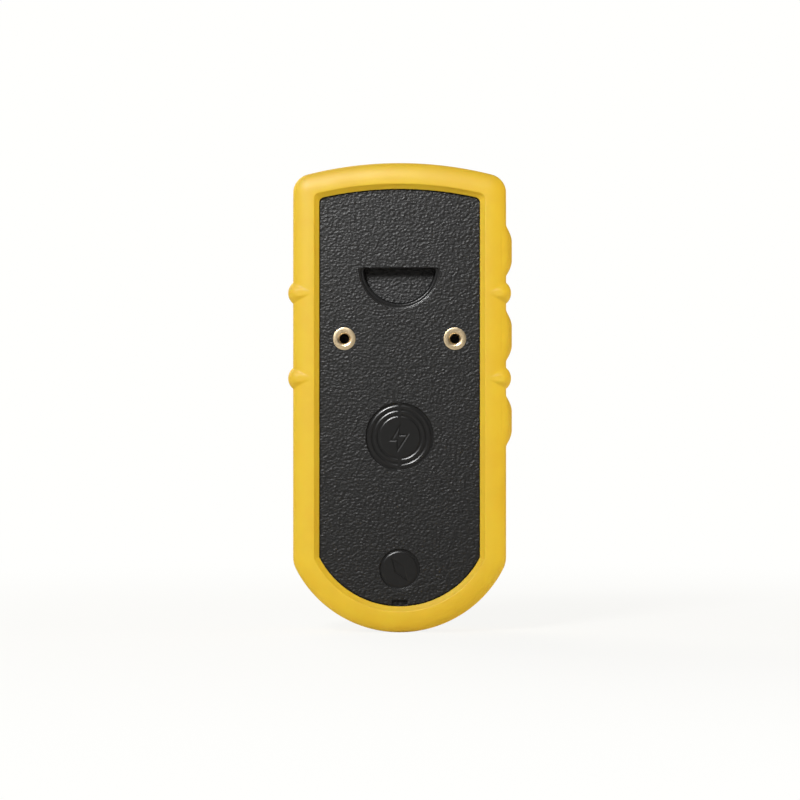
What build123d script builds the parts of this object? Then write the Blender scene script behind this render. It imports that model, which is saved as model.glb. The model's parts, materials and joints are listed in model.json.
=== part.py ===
"""Handheld navigator in a silicone protective sleeve.

A sealed casing of two screwed housings holds a display, a main board and a
battery. A back cover with two threaded inserts closes it, and the charging
coil lies behind that cover. Three side keys and a socket with a hinged flap
sit in the long sides.

Frame: +Z runs up the length, the back cover faces -Y, the screen faces +Y and
the side keys are on +X. A name that ends in _h is a height towards the back,
measured from the middle of the thickness. All sizes are in millimetres.
"""

from build123d import *
from math import cos, radians, sin, sqrt
import os

# ------------------------------------------------------------ sleeve and outline
sleeve_width = 64.0
sleeve_height = 141.0
sleeve_depth = 22.0
bottom_bulge = 3.0  # the bottom arc's radius is this much over half the width
top_radius = 113.2
corner_radius = 5.7
kink_radius = 8.0
inner_corner_radius = 1.65
inner_kink_radius = 0.5

sleeve_wall = 2.2
sleeve_fit = 0.1
rear_lip_width = 7.9
rear_lip_height = 2.3
front_lip_width = 3.4
front_lip_height = 1.4
rear_edge_radius = 4.2
front_edge_radius = 2.4
rear_lip_round = 1.3
front_lip_round = 0.5

nub_radius = 3.9
nub_proud = 1.5
nub_end_gap = 0.8
nub_round = 3.4

# ------------------------------------------------------------ side keys
key_top_drop = 26.3  # from the top of the sleeve down to the upper key
key_pitch = 25.6
key_names = ("upper", "middle", "lower")
key_travel = 0.6
key_half_length = 5.4
key_half_height = 2.1
key_proud = 1.0
key_slot_gap = 0.2
key_flange = 0.9
key_flange_gap = 0.2
key_flange_margin = 1.0

pad_half_length = 7.0
pad_half_height = 4.3
pad_top_half_length = 3.9
pad_proud = 1.9
pad_round = 1.1
pad_gap = 0.3

switch_size = 4.0
switch_height = 0.9
plunger_radius = 0.9
plunger_height = 0.3
switch_clearance = 0.1  # left between key and plunger when the key is pressed
switch_board_thickness = 0.8
switch_board_half_height = 3.2
switch_board_overhang = 6.2
switch_bay_gap = 0.8

# ------------------------------------------------------------ casing
casing_wall = 1.8
casing_edge_round = 0.8
cover_thickness = 2.0
glass_thickness = 1.1
lens_seal_thickness = 0.3
plate_thickness = 1.2
display_thickness = 2.1
board_gap = 1.0
board_thickness = 1.0
component_room = 3.7
floor_thickness = 1.0
battery_gap = 0.2
coil_stack = 1.0

bezel = 1.6
glass_gap = 0.1
chin_clearance = 0.1
glass_corner_radius = 2.5
display_low_margin = 9.25
display_high_margin = 16.7
display_side_margin = 1.4
window_gap = 0.3

seal_width = 0.8
seal_depth = 0.5
seal_margin = 0.5

# ------------------------------------------------------------ back cover
skirt_gap = 0.1
skirt_width = 1.0
skirt_depth = 1.5
pocket_radius = 11.65
pocket_drop = 31.6  # from the top of the sleeve down to the pocket's flat edge
pocket_deep = 3.6
pocket_shallow = 2.9
pocket_wall = 1.2
pocket_corner_round = 0.9
pocket_lip_round = 0.35
pocket_step = 0.75  # width of the ledge inside the pocket's lip
pocket_step_depth = 0.5
pocket_step_round = 0.25

insert_drop = 52.8
insert_spacing = 33.2
insert_flange_radius = 3.4
insert_barrel_radius = 2.9
insert_flange = 1.0
insert_bore_radius = 1.45
insert_sink_radius = 2.4
insert_boss_radius = 4.7
insert_boss_gap = 2.4

mark_drop = 82.2
mark_radii = (9.7, 8.1, 6.45)
groove_width = 0.55
groove_depth = 0.35
groove_bevel_width = 0.3
groove_bevel_depth = 0.13
mark_bridge = 1.4
bolt_corners = (
    (0.4, 4.2), (-2.7, -1.2), (-0.8, -1.2), (-0.5, -4.2), (2.7, 0.8), (0.1, 0.7)
)
bolt_line = 0.35

emblem_height = 19.05
emblem_radius = 5.6
needle_half_length = 3.9
needle_half_width = 1.5
needle_turn = 35.0

border_groove_width = 0.35
border_groove_depth = 0.5

notch_width = 4.8
notch_height = 1.5
notch_depth = 0.9

# ------------------------------------------------------------ inside
screw_shank_radius = 0.8
screw_head_radius = 1.5
screw_head_height = 0.9
screw_hole_radius = 0.9
screw_tip_gap = 0.4
post_radius = 2.0
post_base_radius = 2.9
post_gap = 0.3
post_side_inset = 2.5
post_top_inset = 6.9
post_top_drop = 10.5
post_low_inset = 2.7
post_low_angle = 30.0
post_side_drop = 17.5  # from the lowest key down to the side posts
post_start_gap = 0.2

board_margin = 1.1
board_low_margin = 0.4
side_bay = 5.4
battery_low_margin = 1.5
battery_insert_gap = 2.0
battery_round = 2.0

coil_outer_radius = 20.0
coil_inner_radius = 11.0
coil_thickness = 0.5
ferrite_half = 20.5
ferrite_thickness = 0.3
coil_air = 0.05

speaker_post_gap = 0.3
speaker_length = 8.4
speaker_height = 3.2
speaker_centre = 11.8
mesh_thickness = 0.25
grille_slots = 6
grille_pitch = 2.6
grille_slot_width = 1.0
grille_slot_length = 4.6

antenna_size = 25.0
antenna_height = 3.0
antenna_drop = 20.0
antenna_patch_margin = 2.2
antenna_patch_height = 0.3

motor_radius = 4.0
motor_height = 2.6
motor_drop = 24.0
motor_inset = 9.2

radio_size = (7.0, 2.4, 1.4)
radio_drop = 33.5
radio_x = 20.0

can_height = 1.7
can_wall = 0.2
can_round = 0.8
cans = ((-4.0, 81.0, 24.0, 26.0), (6.0, 44.0, 20.0, 18.0))  # x, drop, width, length

socket_width = 9.0
socket_height = 3.2
socket_length = 7.3
socket_wall = 0.35
socket_drop = 79.0
socket_inset = 0.9  # from the outside of the casing wall to the socket's mouth
socket_hole_gap = 0.3
socket_tongue = (4.4, 6.4, 0.7)

connector_size = (8.0, 3.0, 1.9)
lead_width = 6.0
lead_thickness = 0.4
lead_window_gap = 0.6
flex_thickness = 0.15
display_flex_width = 12.0
display_flex_run = 5.0
key_flex_width = 3.0

flap_half_length = 7.0
flap_half_height = 3.5
flap_gap = 0.35
flap_round = 0.9
flap_tongue_half_length = 3.6
flap_tongue_half_height = 1.3
flap_tongue_depth = 0.5
flap_edge_chamfer = 0.7
flap_foot_gap = 0.05

# ------------------------------------------------------------ worked out from those
half_width = sleeve_width / 2
bottom_radius = half_width + bottom_bulge
top_centre = sleeve_height - top_radius
casing_inset = sleeve_wall + sleeve_fit
casing_half = half_width - casing_inset
cavity_inset = casing_inset + casing_wall
cavity_half = half_width - cavity_inset

rear_h = sleeve_depth / 2
front_h = -sleeve_depth / 2
cover_h = rear_h - rear_lip_height
cover_seat_h = cover_h - cover_thickness
glass_h = front_h + front_lip_height
glass_rear_h = glass_h + glass_thickness
plate_h = glass_rear_h + lens_seal_thickness
plate_rear_h = plate_h + plate_thickness
display_rear_h = glass_rear_h + display_thickness
split_h = display_rear_h + board_gap  # where the housings meet and the board rests
board_rear_h = split_h + board_thickness
floor_front_h = board_rear_h + component_room
floor_h = floor_front_h + floor_thickness
battery_h = floor_h + battery_gap
battery_rear_h = cover_seat_h - coil_stack

key_heights = [sleeve_height - key_top_drop - index * key_pitch for index in range(3)]
nub_heights = [(high + low) / 2 for high, low in zip(key_heights, key_heights[1:])]
pocket_z = sleeve_height - pocket_drop
insert_z = sleeve_height - insert_drop
mark_z = sleeve_height - mark_drop
socket_z = sleeve_height - socket_drop
socket_h = board_rear_h + socket_height / 2
antenna_z = sleeve_height - antenna_drop
side_post_z = key_heights[-1] - post_side_drop
low_post_reach = bottom_radius - cavity_inset - post_low_inset
speaker_half = (
    low_post_reach * sin(radians(post_low_angle)) - post_base_radius - speaker_post_gap
)
cavity_radius = bottom_radius - cavity_inset
skirt_inner_radius = cavity_radius - skirt_gap - skirt_width
battery_half = cavity_half - side_bay
battery_high = insert_z - insert_boss_radius - battery_insert_gap
battery_low = (
    bottom_radius - sqrt(skirt_inner_radius**2 - battery_half**2) + battery_low_margin
)
glass_inset = casing_inset + bezel + glass_gap
lip_radius = bottom_radius - front_lip_width
chin_height = (
    bottom_radius - sqrt(lip_radius**2 - (half_width - glass_inset) ** 2) + chin_clearance
)
board_low = bottom_radius - sqrt(cavity_radius**2 - cavity_half**2) + board_low_margin

os.makedirs("parts", exist_ok=True)


def at(height):
    """Plane that faces the back, at a height towards the back."""
    return Plane.XZ.offset(height)


def finish(piece, label):
    """Name a finished piece and write it to its own file."""
    piece.part.label = label
    export_step(piece.part, f"parts/{label}.step")


def outline(inset, height, low_cut=None, low_round=glass_corner_radius):
    """Outline of the object moved inward by inset, as a face at that height.

    With low_cut the face ends at that level in a straight edge with round corners.
    """
    half = half_width - inset
    low_radius = bottom_radius - inset
    high_radius = top_radius - inset
    kink_z = bottom_radius - sqrt(low_radius**2 - half**2)
    shoulder_z = top_centre + sqrt(high_radius**2 - half**2)
    with BuildSketch(at(height), mode=Mode.PRIVATE) as face:
        with BuildLine():
            if low_cut is None:
                ThreePointArc((-half, kink_z), (0, bottom_radius - low_radius), (half, kink_z))
                Line((half, kink_z), (half, shoulder_z))
            else:
                Polyline((-half, low_cut), (half, low_cut), (half, shoulder_z))
            ThreePointArc(
                (half, shoulder_z), (0, top_centre + high_radius), (-half, shoulder_z)
            )
            Line((-half, shoulder_z), (-half, kink_z if low_cut is None else low_cut))
        make_face()
        levels = face.vertices().group_by(Axis.Y)
        fillet(levels[-1], max(corner_radius - inset, inner_corner_radius))
        if low_cut is None:
            fillet(levels[0], max(kink_radius - inset, inner_kink_radius))
        else:
            fillet(levels[0], low_round)
    return face.sketch


def post_places():
    """Centres of the six screw posts, as x and z."""
    angle = radians(post_low_angle)
    pairs = (
        (cavity_half - post_top_inset, sleeve_height - post_top_drop),
        (cavity_half - post_side_inset, side_post_z),
        (low_post_reach * sin(angle), bottom_radius - low_post_reach * cos(angle)),
    )
    return [(side * x, z) for x, z in pairs for side in (-1, 1)]


# ------------------------------------------------------------ sleeve
with BuildPart() as nubs:
    with BuildSketch(at(front_h + nub_end_gap)):
        nub_x = half_width + nub_proud - nub_radius
        with Locations(*[(side * nub_x, z) for z in nub_heights for side in (-1, 1)]):
            Circle(nub_radius)
    extrude(amount=sleeve_depth - 2 * nub_end_gap)
    fillet(nubs.faces().filter_by(Axis.Y).edges(), nub_round)

with BuildPart() as sleeve:
    extrude(outline(0, front_h), amount=sleeve_depth)
    fillet(sleeve.faces().sort_by(Axis.Y)[0].edges(), rear_edge_radius)
    fillet(sleeve.faces().sort_by(Axis.Y)[-1].edges(), front_edge_radius)
    add(nubs.part)
    extrude(outline(sleeve_wall, glass_h), amount=cover_h - glass_h, mode=Mode.SUBTRACT)
    extrude(outline(rear_lip_width, cover_h), amount=rear_lip_height, mode=Mode.SUBTRACT)
    extrude(outline(front_lip_width, glass_h), amount=-front_lip_height, mode=Mode.SUBTRACT)
    fillet(sleeve.faces().sort_by(Axis.Y)[0].inner_wires().edges(), rear_lip_round)
    fillet(sleeve.faces().sort_by(Axis.Y)[-1].inner_wires().edges(), front_lip_round)
    with BuildSketch(Plane.YZ.offset(casing_half)):
        with Locations(*[(0, z) for z in key_heights]):
            Rectangle(2 * (pad_half_height + pad_gap), 2 * (pad_half_length + pad_gap))
    extrude(amount=half_width, mode=Mode.SUBTRACT)
    with BuildSketch(Plane.YZ.offset(-casing_half)):
        with Locations((-socket_h, socket_z)):
            Rectangle(2 * (flap_half_height + flap_gap), 2 * (flap_half_length + flap_gap))
    extrude(amount=-half_width, mode=Mode.SUBTRACT)
finish(sleeve, "sleeve")

# ------------------------------------------------------------ key pads and keys
pad_foot_x = casing_half + key_proud
pad_top_x = half_width + pad_proud
flange_x = cavity_half - key_flange_gap - key_flange

for name, key_z in zip(key_names, key_heights):
    with BuildPart() as pad:
        with BuildSketch(at(-pad_half_height)):
            with BuildLine():
                Polyline(
                    (pad_foot_x, key_z - pad_half_length),
                    (half_width, key_z - pad_half_length),
                    (pad_top_x, key_z - pad_top_half_length),
                    (pad_top_x, key_z + pad_top_half_length),
                    (half_width, key_z + pad_half_length),
                    (pad_foot_x, key_z + pad_half_length),
                    close=True,
                )
            make_face()
        extrude(amount=2 * pad_half_height)
        fillet(pad.faces().sort_by(Axis.X)[-1].edges(), pad_round)
    finish(pad, f"sleeve_pad_{name}")

    with BuildPart() as key:
        with BuildSketch(Plane.YZ.offset(flange_x)):
            with Locations((0, key_z)):
                Rectangle(
                    2 * (key_half_height + key_flange_margin),
                    2 * (key_half_length + key_flange_margin),
                )
        extrude(amount=key_flange)
        with BuildSketch(Plane.YZ.offset(flange_x)):
            with Locations((0, key_z)):
                SlotOverall(2 * key_half_length, 2 * key_half_height, rotation=90)
        extrude(amount=pad_foot_x - flange_x)
    finish(key, f"side_key_{name}")

# ------------------------------------------------------------ side switches
plunger_x = flange_x - key_travel - switch_clearance
switch_x = plunger_x - plunger_height - switch_height
board_x = switch_x - switch_board_thickness
switch_board_length = key_heights[0] - key_heights[-1] + 2 * switch_board_overhang
switch_bay_length = key_heights[0] - key_heights[-1] + 2 * (
    key_half_length + key_flange_margin + switch_bay_gap
)

with BuildPart() as side_switch_board:
    with BuildSketch(Plane.YZ.offset(board_x)):
        with Locations((0, key_heights[1])):
            Rectangle(2 * switch_board_half_height, switch_board_length)
    extrude(amount=switch_board_thickness)
finish(side_switch_board, "side_switch_board")

with BuildPart() as tactile_switches:
    with BuildSketch(Plane.YZ.offset(switch_x)):
        with Locations(*[(0, z) for z in key_heights]):
            Rectangle(switch_size, switch_size)
    extrude(amount=switch_height)
    with BuildSketch(Plane.YZ.offset(switch_x + switch_height)):
        with Locations(*[(0, z) for z in key_heights]):
            Circle(plunger_radius)
    extrude(amount=plunger_height)
finish(tactile_switches, "tactile_switches")

# ------------------------------------------------------------ front housing
display_low = chin_height + display_low_margin
display_high = sleeve_height - display_high_margin
display_half = cavity_half - display_side_margin

with BuildPart() as front_housing:
    extrude(outline(casing_inset, glass_h), amount=split_h - glass_h)
    fillet(front_housing.faces().sort_by(Axis.Y)[-1].edges(), casing_edge_round)
    extrude(
        outline(cavity_inset, plate_rear_h), amount=split_h - plate_rear_h, mode=Mode.SUBTRACT
    )
    extrude(
        outline(casing_inset + bezel, glass_h, chin_height - glass_gap,
                glass_corner_radius + glass_gap),
        amount=plate_h - glass_h,
        mode=Mode.SUBTRACT,
    )
    with BuildSketch(at(plate_h)):
        with Locations((0, (display_low + display_high) / 2)):
            Rectangle(
                2 * (display_half + window_gap), display_high - display_low + 2 * window_gap
            )
    extrude(amount=plate_thickness, mode=Mode.SUBTRACT)
    with BuildSketch(at(glass_h)):
        with Locations((0, speaker_centre)):
            with GridLocations(grille_pitch, 1, grille_slots, 1):
                SlotOverall(grille_slot_length, grille_slot_width, rotation=90)
    extrude(amount=plate_rear_h - glass_h, mode=Mode.SUBTRACT)
    with BuildSketch(at(display_rear_h + post_start_gap)):
        with Locations(*post_places()[2:4]):
            Circle(post_base_radius)
    extrude(amount=split_h - display_rear_h - post_start_gap)
    with BuildSketch(at(plate_rear_h)):
        with Locations(*post_places()[:2], *post_places()[4:]):
            Circle(post_base_radius)
    extrude(amount=split_h - plate_rear_h)
    with BuildSketch(at(split_h)):
        with Locations(*post_places()):
            Circle(post_radius)
    extrude(amount=floor_front_h - split_h)
    with BuildSketch(at(floor_front_h)):
        with Locations(*post_places()):
            Circle(screw_hole_radius)
    extrude(amount=-(floor_front_h - split_h), mode=Mode.SUBTRACT)
finish(front_housing, "front_housing")

with BuildPart() as touch_glass:
    extrude(outline(glass_inset, glass_h, chin_height), amount=glass_thickness)
finish(touch_glass, "touch_glass")

with BuildPart() as lens_seal:
    extrude(outline(glass_inset, glass_rear_h, chin_height), amount=lens_seal_thickness)
    with BuildSketch(at(glass_rear_h)):
        with Locations((0, (display_low + display_high) / 2)):
            Rectangle(
                2 * (display_half + window_gap), display_high - display_low + 2 * window_gap
            )
    extrude(amount=lens_seal_thickness, mode=Mode.SUBTRACT)
finish(lens_seal, "lens_seal")

with BuildPart() as display_panel:
    with BuildSketch(at(glass_rear_h)):
        with Locations((0, (display_low + display_high) / 2)):
            Rectangle(2 * display_half, display_high - display_low)
    extrude(amount=display_thickness)
finish(display_panel, "display_panel")

with BuildPart() as speaker_mesh:
    with BuildSketch(at(plate_rear_h)):
        with Locations((0, speaker_centre)):
            Rectangle(2 * speaker_half - 2, speaker_length - 2)
    extrude(amount=mesh_thickness)
finish(speaker_mesh, "speaker_mesh")

with BuildPart() as speaker:
    with BuildSketch(at(plate_rear_h + mesh_thickness)):
        with Locations((0, speaker_centre)):
            RectangleRounded(2 * speaker_half, speaker_length, 1.5)
    extrude(amount=speaker_height)
finish(speaker, "speaker")

# ------------------------------------------------------------ rear housing
with BuildPart() as rear_housing:
    extrude(outline(casing_inset, split_h), amount=cover_seat_h - split_h)
    extrude(outline(cavity_inset, split_h), amount=floor_front_h - split_h, mode=Mode.SUBTRACT)
    extrude(outline(cavity_inset, floor_h), amount=cover_seat_h - floor_h, mode=Mode.SUBTRACT)
    for seal_h, amount in ((split_h, seal_depth), (cover_seat_h, -seal_depth)):
        groove_inset = casing_inset + seal_margin
        extrude(outline(groove_inset, seal_h), amount=amount, mode=Mode.SUBTRACT)
        extrude(outline(groove_inset + seal_width, seal_h), amount=amount)
        extrude(outline(cavity_inset, seal_h), amount=amount, mode=Mode.SUBTRACT)
    with BuildSketch(at(floor_h)):
        with Locations(*post_places()):
            Circle(screw_hole_radius)
    extrude(amount=-floor_thickness, mode=Mode.SUBTRACT)
    with BuildSketch(at(floor_h)):
        with Locations(((cavity_half + board_x) / 2 - 1, key_heights[1])):
            Rectangle(cavity_half - board_x + 2, switch_bay_length)
    extrude(amount=-floor_thickness, mode=Mode.SUBTRACT)
    with BuildSketch(at(floor_h)):
        with Locations((0, battery_high + lead_window_gap + lead_thickness / 2)):
            Rectangle(
                lead_width + 2 * lead_window_gap, lead_thickness + 2 * lead_window_gap
            )
    extrude(amount=-floor_thickness, mode=Mode.SUBTRACT)
    with BuildSketch(Plane.YZ.offset(cavity_half - 1)):
        with Locations(*[(0, z) for z in key_heights]):
            SlotOverall(
                2 * (key_half_length + key_slot_gap),
                2 * (key_half_height + key_slot_gap),
                rotation=90,
            )
    extrude(amount=casing_half, mode=Mode.SUBTRACT)
    with BuildSketch(Plane.YZ.offset(-casing_half)):
        with Locations((-socket_h, socket_z)):
            RectangleRounded(
                socket_height + 2 * socket_hole_gap, socket_width + 2 * socket_hole_gap, 1.6
            )
    extrude(amount=casing_wall, mode=Mode.SUBTRACT)
finish(rear_housing, "rear_housing")


def seal_ring(label, height, amount):
    """Gasket that fills a groove in the rear housing's rim."""
    inset = casing_inset + seal_margin
    with BuildPart() as ring:
        extrude(outline(inset, height), amount=amount)
        extrude(outline(inset + seal_width, height), amount=amount, mode=Mode.SUBTRACT)
    finish(ring, label)


seal_ring("housing_seal", split_h, seal_depth)
seal_ring("cover_seal", cover_seat_h, -seal_depth)

with BuildPart() as housing_screws:
    with BuildSketch(at(split_h + screw_tip_gap)):
        with Locations(*post_places()):
            Circle(screw_shank_radius)
    extrude(amount=floor_h - split_h - screw_tip_gap)
    with BuildSketch(at(floor_h)):
        with Locations(*post_places()):
            Circle(screw_head_radius)
    extrude(amount=screw_head_height)
    with BuildSketch(at(floor_h + screw_head_height)):
        with Locations(*post_places()):
            RegularPolygon(screw_shank_radius, 6)
    extrude(amount=-screw_head_height / 2, mode=Mode.SUBTRACT)
finish(housing_screws, "housing_screws")

# ------------------------------------------------------------ back cover
mark_outer = mark_radii[0] + groove_width



def half_moon(height, radius):
    """Half circle under the pocket's flat edge, with round corners, at that height."""
    with BuildSketch(at(height), mode=Mode.PRIVATE) as face:
        with Locations((0, pocket_z)):
            Circle(radius)
            Rectangle(
                2 * radius, 2 * radius, align=(Align.CENTER, Align.MIN), mode=Mode.SUBTRACT
            )
        fillet(face.vertices(), pocket_corner_round)
    return face.sketch


with BuildPart() as pocket:
    extrude(half_moon(cover_h - pocket_deep, pocket_radius - pocket_step), amount=pocket_deep)
    with BuildSketch(Plane.YZ):
        with BuildLine():
            Polyline(
                (-cover_h, pocket_z),
                (-cover_h + pocket_deep, pocket_z),
                (-cover_h + pocket_shallow, pocket_z - pocket_radius),
                (-cover_h, pocket_z - pocket_radius),
                close=True,
            )
        make_face()
    extrude(amount=pocket_radius, both=True, mode=Mode.INTERSECT)
    extrude(half_moon(cover_h - pocket_step_depth, pocket_radius), amount=pocket_step_depth)

with BuildPart() as back_cover:
    extrude(outline(casing_inset, cover_seat_h), amount=cover_thickness)
    fillet(back_cover.faces().sort_by(Axis.Y)[0].edges(), casing_edge_round)
    extrude(outline(rear_lip_width, cover_h), amount=-border_groove_depth, mode=Mode.SUBTRACT)
    extrude(
        outline(rear_lip_width + border_groove_width, cover_h), amount=-border_groove_depth
    )
    extrude(outline(cavity_inset + skirt_gap, cover_seat_h), amount=-skirt_depth)
    extrude(
        outline(cavity_inset + skirt_gap + skirt_width, cover_seat_h),
        amount=-skirt_depth,
        mode=Mode.SUBTRACT,
    )
    with BuildSketch(at(cover_seat_h)):
        with Locations((0, pocket_z)):
            Circle(pocket_radius + pocket_wall)
        with Locations((0, pocket_z + pocket_wall)):
            Rectangle(
                2 * (pocket_radius + pocket_wall),
                2 * pocket_radius,
                align=(Align.CENTER, Align.MIN),
                mode=Mode.SUBTRACT,
            )
    extrude(amount=-(pocket_deep + pocket_wall - cover_thickness))
    add(pocket.part, mode=Mode.SUBTRACT)
    pocket_edges = back_cover.edges().filter_by_position(
        Axis.Z, pocket_z - pocket_radius, pocket_z
    )
    fillet(pocket_edges.filter_by_position(Axis.Y, -cover_h, -cover_h), pocket_lip_round)
    fillet(
        pocket_edges.filter_by(GeomType.CIRCLE).filter_by(
            lambda edge: abs(edge.radius - pocket_radius + pocket_step) < 0.01
            and abs(edge.center().Y + cover_h - pocket_step_depth) < 0.01
        ),
        pocket_step_round,
    )
    with BuildSketch(at(cover_h)):
        with Locations((-insert_spacing / 2, insert_z), (insert_spacing / 2, insert_z)):
            Circle(insert_boss_radius)
    extrude(amount=-(cover_h - floor_h - insert_boss_gap + 1))
    with BuildSketch(at(cover_h)):
        with Locations((-insert_spacing / 2, insert_z), (insert_spacing / 2, insert_z)):
            Circle(insert_flange_radius)
    extrude(amount=-insert_flange, mode=Mode.SUBTRACT)
    with BuildSketch(at(cover_h)):
        with Locations((-insert_spacing / 2, insert_z), (insert_spacing / 2, insert_z)):
            Circle(insert_barrel_radius)
    extrude(amount=-(cover_h - floor_h - insert_boss_gap), mode=Mode.SUBTRACT)
    with BuildSketch(at(cover_h)):
        with Locations((0, mark_z)):
            for radius in mark_radii:
                Circle(radius + groove_width / 2)
                Circle(radius - groove_width / 2, mode=Mode.SUBTRACT)
            Rectangle(mark_bridge, 2 * mark_outer, mode=Mode.SUBTRACT)
    extrude(amount=-groove_depth, mode=Mode.SUBTRACT)
    with BuildSketch(at(cover_h)):
        with Locations((0, mark_z)):
            Polygon(*bolt_corners, align=None)
        offset(amount=-bolt_line, mode=Mode.SUBTRACT)
    extrude(amount=-groove_depth, mode=Mode.SUBTRACT)
    with BuildSketch(at(cover_h)):
        with Locations((0, emblem_height)):
            Circle(emblem_radius + groove_width / 2)
            Circle(emblem_radius - groove_width / 2, mode=Mode.SUBTRACT)
            with Locations(Location((0, 0), needle_turn)):
                Polygon(
                    (0, needle_half_length), (-needle_half_width, 0),
                    (0, -needle_half_length), (needle_half_width, 0),
                    align=None,
                )
    extrude(amount=-groove_depth, mode=Mode.SUBTRACT)
    for level, reach, point in (
        (mark_z, mark_outer, (0, mark_z + mark_outer)),
        (mark_z, mark_outer, (0, mark_z)),
        (emblem_height, emblem_radius + groove_width, (0, emblem_height + mark_outer)),
        (emblem_height, emblem_radius + groove_width, (0, emblem_height + needle_half_length + 0.5)),
    ):
        surface = (
            back_cover.faces().filter_by(GeomType.PLANE)
            .filter_by_position(Axis.Y, -cover_h, -cover_h)
            .sort_by(lambda face: face.distance_to(Vector(point[0], -cover_h, point[1])))[0]
        )
        chamfer(
            surface.edges().filter_by_position(Axis.Z, level - reach, level + reach)
            .filter_by_position(Axis.X, -reach, reach)
            .filter_by(lambda edge: edge.length < 8 * reach),
            groove_bevel_width,
            groove_bevel_depth,
            reference=surface,
        )
    with BuildSketch(at(cover_h)):
        with Locations((0, rear_lip_width + notch_height / 2)):
            RectangleRounded(notch_width, notch_height + 1.0, 0.6)
    extrude(amount=-notch_depth, mode=Mode.SUBTRACT)
finish(back_cover, "back_cover")

with BuildPart() as clip_inserts:
    with BuildSketch(at(cover_h)):
        with Locations((-insert_spacing / 2, insert_z), (insert_spacing / 2, insert_z)):
            Circle(insert_flange_radius)
    extrude(amount=-insert_flange)
    with BuildSketch(at(cover_h - insert_flange)):
        with Locations((-insert_spacing / 2, insert_z), (insert_spacing / 2, insert_z)):
            Circle(insert_barrel_radius)
    extrude(amount=-(cover_h - floor_h - insert_boss_gap - insert_flange))
    with Locations(
        *[
            Location(at(cover_h).from_local_coords((side * insert_spacing / 2, insert_z, 0)),
                     (90, 0, 0))
            for side in (-1, 1)
        ]
    ):
        CounterSinkHole(
            insert_bore_radius, insert_sink_radius, counter_sink_angle=90
        )
finish(clip_inserts, "clip_inserts")

# ------------------------------------------------------------ charging coil
coil_rear_h = cover_seat_h - coil_air
ferrite_rear_h = coil_rear_h - coil_thickness - coil_air

with BuildPart() as charging_coil:
    with BuildSketch(at(coil_rear_h)):
        with Locations((0, mark_z)):
            Circle(coil_outer_radius)
            Circle(coil_inner_radius, mode=Mode.SUBTRACT)
    extrude(amount=-coil_thickness)
finish(charging_coil, "charging_coil")

with BuildPart() as ferrite_sheet:
    with BuildSketch(at(ferrite_rear_h)):
        with Locations((0, mark_z)):
            RectangleRounded(2 * ferrite_half, 2 * ferrite_half, 2)
    extrude(amount=-ferrite_thickness)
finish(ferrite_sheet, "ferrite_sheet")

# ------------------------------------------------------------ battery
with BuildPart() as battery_pack:
    with BuildSketch(at(battery_h)):
        with Locations((0, (battery_low + battery_high) / 2)):
            RectangleRounded(2 * battery_half, battery_high - battery_low, battery_round)
    extrude(amount=battery_rear_h - battery_h)
    fillet(battery_pack.faces().filter_by(Axis.Y).edges(), 0.5)
finish(battery_pack, "battery_pack")

connector_rear_h = board_rear_h + connector_size[2]
lead_z = battery_high + lead_window_gap

with BuildPart() as battery_connector:
    with BuildSketch(at(board_rear_h)):
        with Locations((0, lead_z + lead_thickness / 2)):
            Rectangle(connector_size[0], connector_size[1])
    extrude(amount=connector_size[2])
finish(battery_connector, "battery_connector")

with BuildPart() as battery_lead:
    with BuildSketch(at(connector_rear_h)):
        with Locations((0, lead_z + lead_thickness / 2)):
            Rectangle(lead_width, lead_thickness)
    extrude(amount=(battery_h + battery_rear_h) / 2 - connector_rear_h)
    with BuildSketch(at((battery_h + battery_rear_h) / 2)):
        with Locations((0, (battery_high + lead_z + lead_thickness) / 2)):
            Rectangle(lead_width, lead_z + lead_thickness - battery_high)
    extrude(amount=-lead_thickness)
finish(battery_lead, "battery_lead")

# ------------------------------------------------------------ main board
with BuildPart() as main_board:
    extrude(outline(cavity_inset + board_margin, split_h, board_low), amount=board_thickness)
    with BuildSketch(at(split_h)):
        with Locations(*post_places()):
            Circle(post_radius + post_gap)
    extrude(amount=board_thickness, mode=Mode.SUBTRACT)
finish(main_board, "main_board")

with BuildPart() as shield_cans:
    for x, drop, width, length in cans:
        with BuildSketch(at(board_rear_h)):
            with Locations((x, sleeve_height - drop)):
                RectangleRounded(width, length, can_round)
        extrude(amount=can_height)
        with BuildSketch(at(board_rear_h)):
            with Locations((x, sleeve_height - drop)):
                Rectangle(width - 2 * can_wall, length - 2 * can_wall)
        extrude(amount=can_height - can_wall, mode=Mode.SUBTRACT)
finish(shield_cans, "shield_cans")

with BuildPart() as gps_antenna:
    with BuildSketch(at(board_rear_h)):
        with Locations((0, antenna_z)):
            RectangleRounded(antenna_size, antenna_size, 1)
    extrude(amount=antenna_height)
    with BuildSketch(at(board_rear_h + antenna_height)):
        with Locations((0, antenna_z)):
            patch_size = antenna_size - 2 * antenna_patch_margin
            RectangleRounded(patch_size, patch_size, 2)
    extrude(amount=antenna_patch_height)
finish(gps_antenna, "gps_antenna")

with BuildPart() as radio_antenna:
    with BuildSketch(at(board_rear_h)):
        with Locations((radio_x, sleeve_height - radio_drop)):
            Rectangle(radio_size[1], radio_size[0])
    extrude(amount=radio_size[2])
finish(radio_antenna, "radio_antenna")

with BuildPart() as vibration_motor:
    with BuildSketch(at(board_rear_h)):
        with Locations((-(cavity_half - motor_inset), sleeve_height - motor_drop)):
            Circle(motor_radius)
    extrude(amount=motor_height)
    fillet(vibration_motor.faces().filter_by(Axis.Y).edges(), 0.3)
finish(vibration_motor, "vibration_motor")

socket_mouth_x = -(casing_half - socket_inset)

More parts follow.
